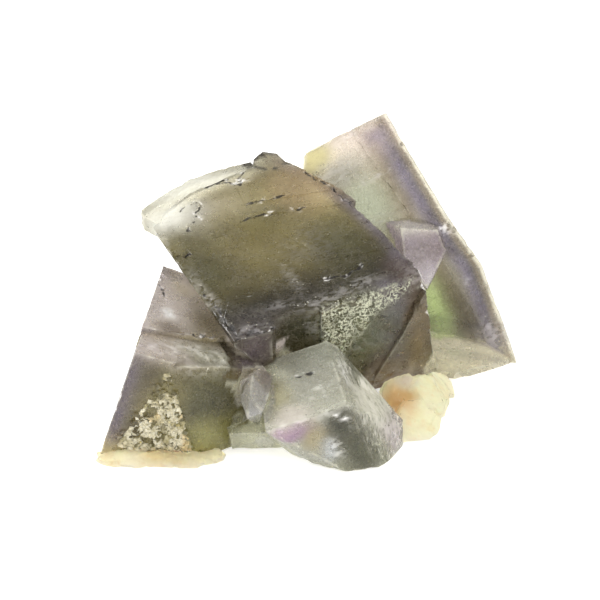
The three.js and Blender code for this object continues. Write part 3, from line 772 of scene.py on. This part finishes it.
def feed(node, values):
    # Gives a node's inputs, by name or number, a plain value or a link from another node's output
    for key, value in values.items():
        if isinstance(value, bpy.types.NodeSocket):
            current["tree"].links.new(value, node.inputs[key])
        else:
            node.inputs[key].default_value = value


def put(kind, **values):
    # A new node: i0, i1 and so on are inputs by number, other names are its settings or its inputs
    node = current["tree"].nodes.new("ShaderNode" + kind)
    for key, value in values.items():
        if hasattr(node, key):
            setattr(node, key, value)
        else:
            feed(node, {int(key[1:]) if key[1:].isdigit() else key: value})
    return node


def mathOf(operation, a, b, clamp=False):
    return put("Math", operation=operation, use_clamp=clamp, i0=a, i1=b).outputs[0]


def times(a, b, clamp=False):
    return mathOf("MULTIPLY", a, b, clamp)


def most(a, b):
    return mathOf("MAXIMUM", a, b)


def blendNumber(share, a, b):
    # a + share (b - a), for numbers
    part = mathOf("SUBTRACT", b, a)
    return put("Math", operation="MULTIPLY_ADD", i0=share, i1=part, i2=a).outputs[0]


def blendOf(share, a, b, mode="MIX"):
    # The same for colours, where a plain one is its red, green and blue
    a, b = [(*value, 1) if isinstance(value, tuple) else value for value in (a, b)]
    return put("Mix", data_type="RGBA", blend_type=mode, i0=share, i6=a, i7=b).outputs[2]


def rangeOf(value, low, high, start=0.0, end=1.0):
    return put("MapRange", i0=value, i1=low, i2=high, i3=start, i4=end).outputs[0]


def readColour(name):
    return put("Attribute", attribute_name=name).outputs["Color"]


def noiseOf(vector, scale, detail=3.0, roughness=0.55):
    node = put("TexNoise", Vector=vector, Scale=scale, Detail=detail, Roughness=roughness)
    return node.outputs["Fac"]


fluoriteLook = {
    "ior": 1.434,
    "throughShare": (0.44, 0.88),            # share of light let through, cloudy crystal then clear
    "roughness": (0.48, 0.12),               # the same order
    "absorbColour": (0.73, 0.71, 0.64, 1),
    "absorbDensity": 50.0,                   # per metre
    "bumpDepth": 0.00022,                    # metres
    "broadScale": 0.16,                      # patterns repeat about this many times a millimetre
    "fineScale": 1.3,
    "grainScale": 2.6,
    "dendriteScale": 0.75,
    "crazedScale": 0.12,                     # the patches that are crazed
    "crazeScales": (0.42, 0.55),             # their dark lines, then their light ones
    "crazeShares": (0.6, 0.22),              # the same order
    "veilColour": (0.84, 0.81, 0.82),
    "whiteColour": (0.95, 0.94, 0.91),
    # Colour of the pale edge line, partly painted light, and of the painted glints
    "edgeColour": (0.90, 0.87, 0.74),
    "crustColour": (0.80, 0.82, 0.63),
    "grainColour": (0.62, 0.57, 0.42),
    "crackColour": (0.015, 0.012, 0.010),
    "streakColours": ((0.30, 0.31, 0.20), (1.0, 0.97, 0.86)),  # between the streaks and on them
    "patchShade": (0.55, 0.52, 0.44),        # shades multiply the tint
    "crumbShade": (0.42, 0.39, 0.34),
    "crazeShade": (0.24, 0.20, 0.16),
    "lineShade": (0.70, 0.68, 0.62),
}


def drawnOut(vector, scale):
    return put("Mapping", Vector=vector, Scale=scale).outputs[0]


def ridgeOf(noise, outer, inner):
    # A thin line where a noise crosses its middle value
    away = mathOf("ABSOLUTE", mathOf("SUBTRACT", noise, 0.5), 0.0)
    return rangeOf(away, outer, inner)


def specks(place, scale, size, share):
    # Round specks: near a cell's point, in the share of cells that draw a high random number
    cell = put("TexVoronoi", Vector=place, Scale=scale)
    drawn = put("SeparateColor", i0=cell.outputs["Color"]).outputs[0]
    chosen = rangeOf(drawn, 1 - share, 1 - share + 0.02)
    return times(chosen, rangeOf(cell.outputs["Distance"], size, size * 0.6))


def fluoriteMaterial():
    look = fluoriteLook
    material, shader = newMaterial("fluorite crystal")
    own = put("Attribute", attribute_name="own").outputs["Vector"]
    flow = put("Attribute", attribute_name="flow").outputs["Vector"]
    tint = readColour("tint")
    marks = put("SeparateColor", i0=readColour("marks"))
    veil, etched, dark = marks.outputs[0], marks.outputs[1], marks.outputs[2]
    edges = put("SeparateColor", i0=readColour("edges"))
    rim, notch, clear = edges.outputs[0], edges.outputs[1], edges.outputs[2]

    broad = noiseOf(own, look["broadScale"], 4.0)
    fine = noiseOf(own, look["fineScale"], 4.0, 0.65)
    grain = noiseOf(own, look["grainScale"], 5.0, 0.7)
    dendrites = noiseOf(own, look["dendriteScale"], 6.0, 0.68)
    # Patterns drawn out along the crystal's right axis, or along the broken flank's streaks
    streakVector = put("Attribute", attribute_name="streaky").outputs["Vector"]
    streaky = put("SeparateXYZ", i0=streakVector).outputs[0]
    lines = noiseOf(drawnOut(flow, (0.5, 1.6, 1.6)), 1.1, 4.0, 0.65)
    streakLines = noiseOf(drawnOut(flow, (0.5, 0.6, 0.6)), 1.0, 5.0, 0.66)
    wisps = noiseOf(drawnOut(flow, (0.6, 1.2, 1.2)), 0.7, 9.0, 0.74)

    veilShare = times(rangeOf(veil, 0.0, 0.8), rangeOf(wisps, 0.45, 0.57), True)
    pale = put("SeparateColor", i0=tint).outputs[0]
    # A pale line along the outer edges: partly worn scuffs, partly painted light glowing through the thin
    # edges
    outer = times(rangeOf(rim, 0.55, 0.98), rangeOf(notch, 0.75, 0.35))
    outer = times(outer, rangeOf(pale, 0.05, 0.6, 0.25, 1.0))
    wearAndGlow = rangeOf(noiseOf(own, 0.45, 3.0), 0.40, 0.66, 0.0, 0.8)
    rimLine = times(outer, wearAndGlow, True)
    # The etched patch carries a thin branching crust
    crust = ridgeOf(dendrites, 0.042, 0.016)
    crust = times(crust, rangeOf(broad, 0.32, 0.50))
    crust = times(crust, etched, True)
    # Painted glints: small bright specks, more of them in the veils
    bright = specks(own, 1.3, 0.20, 0.25)
    bright = times(bright, rangeOf(veil, 0.02, 0.25, 0.3, 1.0))
    dusky = times(specks(own, 1.25, 0.20, 0.12), 0.35)
    # Cracks: the ramp at a crack is broken up by the grain and cut off sharply
    broken = mathOf("ADD", dark, times(mathOf("SUBTRACT", grain, 0.5), 0.5))
    darkShare = most(rangeOf(broken, 0.56, 0.68, 0.0, 0.96), dusky)

    # The tint, mottled more where it is deep, with crazed patches of fine dark and light lines
    mottled = rangeOf(pale, 0.3, 0.85, 1.0, 0.15)
    patches = times(mottled, rangeOf(broad, 0.38, 0.62, 0.0, 0.62))
    crazed = rangeOf(noiseOf(own, look["crazedScale"], 2.0), 0.42, 0.56)
    crazed = times(mottled, crazed)
    crazing = []
    for scale, share in zip(look["crazeScales"], look["crazeShares"]):
        ridge = ridgeOf(noiseOf(own, scale, 7.0, 0.72), 0.022, 0.008)
        crazing.append(times(times(crazed, ridge), share))
    darkLines, lightLines = crazing
    crumbs = times(mottled, rangeOf(grain, 0.42, 0.62, 0.0, 0.7))
    grains = times(mottled, rangeOf(grain, 0.42, 0.30, 0.0, 0.20))
    growth = rangeOf(lines, 0.50, 0.38, 0.0, 0.35)
    colour = blendOf(patches, tint, look["patchShade"], "MULTIPLY")
    colour = blendOf(crumbs, colour, look["crumbShade"], "MULTIPLY")
    colour = blendOf(grains, colour, look["grainColour"])
    colour = blendOf(darkLines, colour, look["crazeShade"], "MULTIPLY")
    colour = blendOf(lightLines, colour, look["grainColour"])
    colour = blendOf(growth, colour, look["lineShade"], "MULTIPLY")
    gaps = times(streaky, rangeOf(streakLines, 0.48, 0.40, 0.0, 0.6))
    ribs = times(streaky, rangeOf(streakLines, 0.54, 0.64, 0.0, 0.7))
    colour = blendOf(gaps, colour, look["streakColours"][0], "MULTIPLY")
    colour = blendOf(ribs, colour, look["streakColours"][1])
    colour = blendOf(darkShare, colour, look["crackColour"])
    colour = blendOf(crust, colour, look["crustColour"])
    colour = blendOf(rimLine, colour, look["edgeColour"])
    veilTone = blendOf(0.45, look["veilColour"], tint)
    veilTone = blendOf(rangeOf(veil, 0.65, 0.95), veilTone, look["whiteColour"])
    colour = blendOf(veilShare, colour, veilTone)
    colour = blendOf(bright, colour, look["edgeColour"])

    # Veils, pale lines, crust, specks and cracks let less light through and are rougher
    cover = most(veilShare, times(rimLine, 0.5))
    cover = most(cover, times(crust, 0.8))
    cover = most(cover, most(bright, times(ribs, 0.6)))
    cover = most(cover, times(darkShare, 0.7))
    cover = most(cover, lightLines)
    lets = rangeOf(clear, -1.0, 1.0, *look["throughShare"])
    through = blendNumber(cover, lets, 0.1)
    rough = rangeOf(clear, -1.0, 1.0, *look["roughness"])
    uneven = rangeOf(noiseOf(own, 0.5, 4.0, 0.7), 0.35, 0.7, 0.75, 1.35)
    rough = times(rough, uneven)
    rough = mathOf("ADD", rough, times(cover, 0.35), True)
    height = mathOf("ADD", times(fine, 0.7), times(grain, 0.5))
    height = mathOf("ADD", height, times(lines, 0.25))
    height = mathOf("ADD", height, times(cover, 0.6))
    height = mathOf("ADD", height, times(gaps, -0.8))
    bump = put("Bump", Strength=0.55, Distance=look["bumpDepth"], Height=height)
    feed(shader, {"Base Color": colour, "Transmission Weight": through, "Roughness": rough,
                  "Normal": bump.outputs[0], "IOR": look["ior"]})
    absorb = put("VolumeAbsorption", Color=look["absorbColour"], Density=look["absorbDensity"])
    feed(material.node_tree.nodes["Material Output"], {"Volume": absorb.outputs[0]})
    return material


druseLook = {
    "grainScale": 1400.0,           # per metre
    "sheen": (0.86, 0.78, 0.54),    # colour of the mottling on the grains
    "through": 0.45,
    "ior": 1.5,
    "bumpDepth": 0.0001,            # metres
}

rockLook = {
    "crumbScale": 900.0,            # per metre
    "stainScale": 260.0,
    "stainShade": (0.86, 0.62, 0.40),
    "crumbColour": (1.0, 0.96, 0.82),
    "hollowShade": (0.80, 0.58, 0.36),
    "through": 0.75,
    "glow": 0.6,                    # share of light that spreads inside
    "glowReach": (0.006, 0.004, 0.0015),  # metres, red, green and blue
    "bumpDepth": 0.0002,            # metres
}


def druseMaterial():
    look = druseLook
    material, shader = newMaterial("golden druse")
    place = put("TexCoord").outputs["Object"]
    grain = noiseOf(place, look["grainScale"], 2.0)
    mottling = rangeOf(grain, 0.4, 0.65, 0.0, 0.5)
    colour = blendOf(mottling, readColour("tint"), look["sheen"])
    rough = rangeOf(grain, 0.3, 0.7, 0.22, 0.5)
    bump = put("Bump", Strength=0.3, Distance=look["bumpDepth"], Height=grain)
    feed(shader, {"Base Color": colour, "Transmission Weight": look["through"], "Roughness": rough,
                  "Normal": bump.outputs[0], "IOR": look["ior"]})
    return material


def rockMaterial(name):
    # Stained rock: its tint takes painted shade in the hollows and pales on the crumbs, with light carried
    # through it
    look = rockLook
    material, shader = newMaterial(name)
    place = put("TexCoord").outputs["Object"]
    crumbs = noiseOf(place, look["crumbScale"], 3.0, 0.7)
    stain = noiseOf(place, look["stainScale"], 4.0, 0.6)
    tint = readColour("tint")
    colour = blendOf(rangeOf(stain, 0.46, 0.34, 0.0, 0.3), tint, look["stainShade"], "MULTIPLY")
    colour = blendOf(rangeOf(crumbs, 0.58, 0.74, 0.0, 0.5), colour, look["crumbColour"])
    # Painted shade in the hollows of the crumbly bump
    hollowShadowShare = rangeOf(crumbs, 0.42, 0.30, 0.0, 0.35)
    colour = blendOf(hollowShadowShare, colour, look["hollowShade"], "MULTIPLY")
    rough = rangeOf(crumbs, 0.3, 0.7, 0.5, 0.85)
    bump = put("Bump", Strength=0.45, Distance=look["bumpDepth"], Height=crumbs)
    feed(shader, {"Base Color": colour, "Transmission Weight": look["through"], "Roughness": rough,
                  "Normal": bump.outputs[0], "Subsurface Weight": look["glow"],
                  "Subsurface Radius": look["glowReach"], "Subsurface Scale": 1.0})
    return material


# The pieces
crystalPiece = makeCrystals()
crystalPiece.data.materials.append(fluoriteMaterial())
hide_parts("fluorite")
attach(crystalPiece, "root")

drusePiece = makeDruse()
drusePiece.data.materials.append(druseMaterial())
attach(drusePiece, "root")

for node, slot, name in [("matrix_right", "rock_amber", "amber rock"),
                         ("matrix_left", "rock_cream", "cream crust")]:
    rock = makeRock(node)
    rock.data.materials.append(rockMaterial(name))
    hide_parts(node)
    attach(rock, "root")
print("Pieces made and dressed")


# Floor, light and camera, in metres
stageLook = {
    "floorReach": 3,            # half the floor's side
    "floorDrop": 0.0004,        # how far it lies below the foot
    "floorColour": (0.92, 0.92, 0.91, 1),
    "floorGlow": 0.55,
    "skyColour": (1.0, 0.97, 0.90, 1),
    "skyStrength": 0.5,
    "lampAim": (0, 0, 0.02),
    "lamps": {                  # place, width and watts
        "lamp above left": ((-0.55, 0.05, 0.55), 0.5, 5),
        "lamp above right": ((0.55, -0.30, 0.50), 0.4, 3),
        "lamp behind": ((0.10, 0.80, 0.20), 0.6, 1.6),
        "lamp in front": ((-0.10, -0.80, 0.20), 0.5, 1.8),
    },
}

camLook = {
    "distance": 0.520,       # from the point looked at
    "elevation": 32.0,       # degrees above the floor
    "aim": (-0.00268, -0.01971, 0.0289),
    "frameWidth": 0.129,     # across the image at that point
    "film": 36,              # width of the film, mm
}


def makeStage():
    look = stageLook
    floorMesh = bpy.data.meshes.new("floor")
    r, drop = look["floorReach"], look["floorDrop"]
    corners = [(-r, -r, -drop), (r, -r, -drop), (r, r, -drop), (-r, r, -drop)]
    floorMesh.from_pydata(corners, [], [(0, 1, 2, 3)])
    floor = bpy.data.objects.new("floor", floorMesh)
    bpy.context.scene.collection.objects.link(floor)
    material, shader = newMaterial("pale floor")
    feed(shader, {"Base Color": look["floorColour"], "Roughness": 0.9, "Emission Color": (1, 1, 1, 1),
                  "Emission Strength": look["floorGlow"]})
    floorMesh.materials.append(material)
    world = bpy.data.worlds.new("studio")
    world.use_nodes = True
    sky = world.node_tree.nodes["Background"]
    feed(sky, {"Color": look["skyColour"], "Strength": look["skyStrength"]})
    bpy.context.scene.world = world


def makeLamp(name, place, width, power):
    lamp = bpy.data.lights.new(name, "AREA")
    lamp.shape = "SQUARE"
    lamp.size = width
    lamp.energy = power
    holder = bpy.data.objects.new(name, lamp)
    holder.location = place
    way = Vector(stageLook["lampAim"]) - Vector(place)
    holder.rotation_euler = way.to_track_quat("-Z", "Y").to_euler()
    bpy.context.scene.collection.objects.link(holder)


def makeCamera():
    look = camLook
    tilt = radians(look["elevation"])
    camera = bpy.data.cameras.new("camera")
    camera.sensor_width = look["film"]
    camera.lens = look["film"] * look["distance"] / look["frameWidth"]
    camera.clip_start = 0.01
    camera.clip_end = 20
    holder = bpy.data.objects.new("camera", camera)
    away = Vector((0, -cos(tilt), sin(tilt)))
    holder.location = Vector(look["aim"]) + look["distance"] * away
    holder.rotation_euler = (-away).to_track_quat("-Z", "Y").to_euler()
    bpy.context.scene.collection.objects.link(holder)
    bpy.context.scene.camera = holder


makeStage()
for name, (place, width, power) in stageLook["lamps"].items():
    makeLamp(name, place, width, power)
makeCamera()
bpy.context.scene.view_settings.view_transform = "Standard"
bpy.context.scene.view_settings.look = "None"
print("Stage, lamps and camera set")
